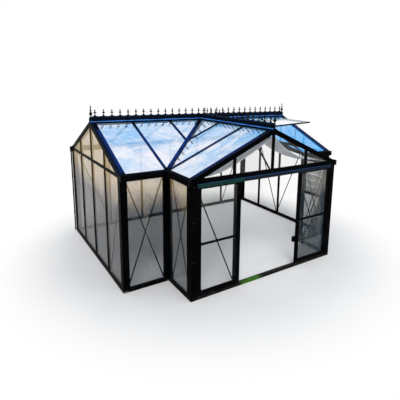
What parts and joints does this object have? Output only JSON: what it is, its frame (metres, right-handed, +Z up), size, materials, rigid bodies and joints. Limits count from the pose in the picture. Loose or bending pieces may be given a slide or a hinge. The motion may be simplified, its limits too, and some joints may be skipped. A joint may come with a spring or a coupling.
{
  "type": "greenhouse",
  "caption": "T-shaped glazed garden house in dark aluminium with a crested ridge, sliding double doors in the porch gable and an open roof vent.",
  "frame": {"origin": "centre of the bounding box at ground level", "axes": "+X along the long ridge, to the right seen from the doorway; +Y from the porch gable to the rear wall; +Z up"},
  "size_m": [4.4943, 3.768, 2.7553],
  "materials": {
    "frame_paint": "satin",
    "glass": "gloss",
    "door_glass": "gloss",
    "cast_crest": "satin",
    "lock_plastic": "matte",
    "shade_fabric": "matte",
    "gutter_paint": "satin",
    "stay_metal": "satin"
  },
  "bodies": {
    "house": {"door_guide": "frame_paint", "door_track": "frame_paint", "downpipe": "gutter_paint", "front_finial": "cast_crest", "front_gable": "frame_paint", "front_gable_glass": "glass", "front_left_panel": "frame_paint", "front_left_panel_glass": "glass", "front_left_roof": "frame_paint", "front_left_roof_glass": "glass", "front_left_wall": "frame_paint", "front_left_wall_glass": "glass", "front_right_panel": "frame_paint", "front_right_panel_glass": "glass", "front_right_roof": "frame_paint", "front_right_roof_glass": "glass", "front_right_wall": "frame_paint", "front_right_wall_glass": "glass", "left_finial": "cast_crest", "left_gutter": "gutter_paint", "left_shade_cloth": "shade_fabric", "left_valley": "frame_paint", "left_wall": "frame_paint", "left_wall_glass": "glass", "louvre": "frame_paint", "main_cresting": "cast_crest", "main_ridge": "frame_paint", "porch_cresting": "cast_crest", "porch_left_post": "frame_paint", "porch_left_roof": "frame_paint", "porch_left_roof_glass": "glass", "porch_left_wall": "frame_paint", "porch_left_wall_glass": "glass", "porch_ridge": "frame_paint", "porch_right_post": "frame_paint", "porch_right_roof": "frame_paint", "porch_right_roof_glass": "glass", "porch_right_wall": "frame_paint", "porch_right_wall_glass": "glass", "rear_gutter": "gutter_paint", "rear_roof": "frame_paint", "rear_roof_glass": "glass", "rear_wall": "frame_paint", "rear_wall_glass": "glass", "ridge_strut": "frame_paint", "right_finial": "cast_crest", "right_gutter": "gutter_paint", "right_shade_cloth": "shade_fabric", "right_valley": "frame_paint", "right_wall": "frame_paint", "right_wall_glass": "glass", "vent": "frame_paint", "vent_glass": "glass", "vent_stay": "stay_metal"},
    "left_leaf": {"door_left": "frame_paint", "door_left_glass": "door_glass", "door_left_lock": "lock_plastic"},
    "right_leaf": {"door_right": "frame_paint", "door_right_glass": "door_glass", "door_right_lock": "lock_plastic"}
  },
  "joints": [
    {"name": "door_left_slide", "type": "slide", "parent": "house", "child": "left_leaf", "axis": [1, 0, 0], "range_m": [0, 0.607]},
    {"name": "door_right_slide", "type": "slide", "parent": "house", "child": "right_leaf", "axis": [-1, 0, 0], "range_m": [0, 0.607]}
  ]
}
